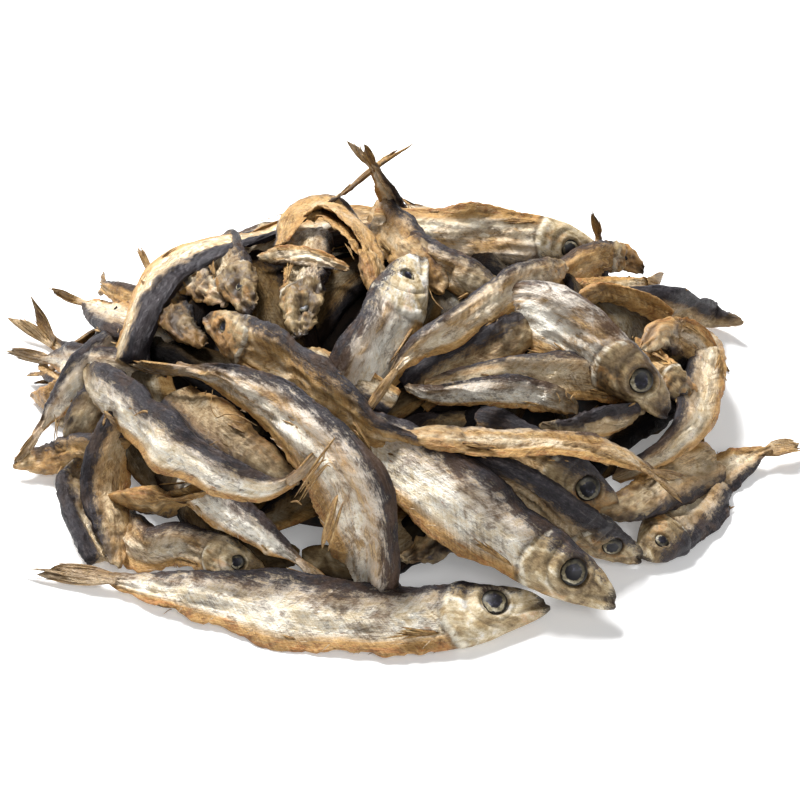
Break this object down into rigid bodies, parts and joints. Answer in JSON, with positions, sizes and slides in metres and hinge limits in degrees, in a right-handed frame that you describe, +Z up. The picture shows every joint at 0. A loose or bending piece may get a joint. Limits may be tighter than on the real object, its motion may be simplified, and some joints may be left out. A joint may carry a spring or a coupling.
{
  "type": "heap of dried small fish",
  "caption": "Loose heap of small whole dried fish with dark backs, silvery flanks and golden heads, lying flat with no dish.",
  "frame": {"origin": "on the surface that the heap lies on, under the middle of the heap", "axes": "+Z up out of the heap, +X along its width, -Y towards the side that the picture shows"},
  "size_m": [0.2007, 0.1601, 0.0619],
  "materials": {
    "dried_skin": "dry, wrinkled skin with a dull silvery sheen on the flanks"
  },
  "bodies": {
    "root": {"fish_heap": "dried_skin"}
  },
  "joints": []
}
